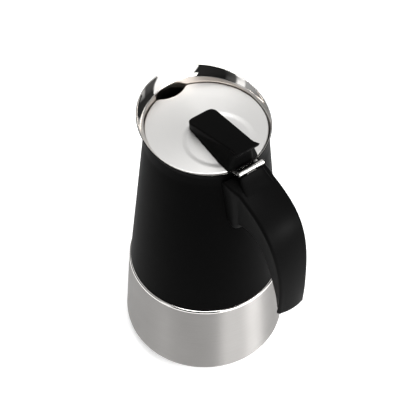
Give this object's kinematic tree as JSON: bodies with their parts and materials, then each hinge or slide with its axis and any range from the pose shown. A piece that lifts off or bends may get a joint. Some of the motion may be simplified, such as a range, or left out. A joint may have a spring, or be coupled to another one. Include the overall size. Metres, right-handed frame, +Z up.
{
  "type": "moka pot",
  "caption": "Stovetop espresso pot with a screwed steel boiler, conical vessel with flared pouring lip, hinged lid with thumb lever and open plastic handle.",
  "frame": {"origin": "centre of the base's underside", "axes": "+Z up along the axis of the pot, +X towards the handle, -X towards the spout and the safety valve"},
  "size_m": [0.143, 0.1, 0.1913],
  "materials": {
    "brushed_steel": "satin, brushed round the boiler",
    "satin_steel": "fine satin",
    "bright_steel": "polished",
    "black_coating": "soft matte black outside, polished steel inside",
    "black_plastic": "fine matte moulding",
    "brass": "turned",
    "silicone": "matte",
    "seal_fibre": "matte"
  },
  "bodies": {
    "boiler": {"boiler_shell": "brushed_steel", "base_disc": "brushed_steel", "boiler_collar": "satin_steel", "valve_body": "brass", "valve_washer": "seal_fibre", "valve_nut": "brass", "valve_cap": "brass", "valve_spring": "bright_steel"},
    "valve_pin": {"valve_pin": "bright_steel"},
    "funnel": {"funnel_basket": "satin_steel", "funnel_sieve": "satin_steel", "funnel_stem": "satin_steel"},
    "gasket": {"gasket": "silicone"},
    "filter_plate": {"filter_plate": "satin_steel"},
    "upper": {"upper_vessel": "black_coating", "vessel_floor": "satin_steel", "vessel_thread_ring": "satin_steel", "coffee_column": "satin_steel", "column_cap": "bright_steel", "handle": "black_plastic", "handle_bracket": "satin_steel", "handle_screw": "bright_steel", "hinge_leaf": "bright_steel", "hinge_pin": "bright_steel"},
    "lid": {"lid_plate": "satin_steel", "lid_lever": "black_plastic", "lever_screws": "bright_steel"}
  },
  "joints": [
    {"name": "valve_travel", "type": "slide", "parent": "boiler", "child": "valve_pin", "axis": [-1, 0, 0], "range_m": [0, 0.0012], "stiffness_N_per_m": 500, "deforming": ["valve_spring"]},
    {"name": "funnel_lift", "type": "slide", "parent": "boiler", "child": "funnel", "axis": [0, 0, 1], "range_m": [0, 0.09]},
    {"name": "vessel_lift", "type": "slide", "parent": "funnel", "child": "gasket", "axis": [0, 0, 1], "range_m": [0, 0.07]},
    {"name": "screw_rise", "type": "slide", "parent": "gasket", "child": "filter_plate", "axis": [0, 0, 1], "range_m": [0, 0.006]},
    {"name": "vessel_unscrew", "type": "hinge", "parent": "filter_plate", "child": "upper", "pos_m": [0, 0, 0.083], "axis": [0, 0, 1], "range_deg": [0, 720]},
    {"name": "lid_hinge", "type": "hinge", "parent": "upper", "child": "lid", "pos_m": [0.0399, 0, 0.179], "axis": [0, 1, 0], "range_deg": [0, 100]}
  ],
  "couplings": [
    {"joint": "screw_rise", "follows": "vessel_unscrew", "m_per_rad": 0.00047746}
  ]
}
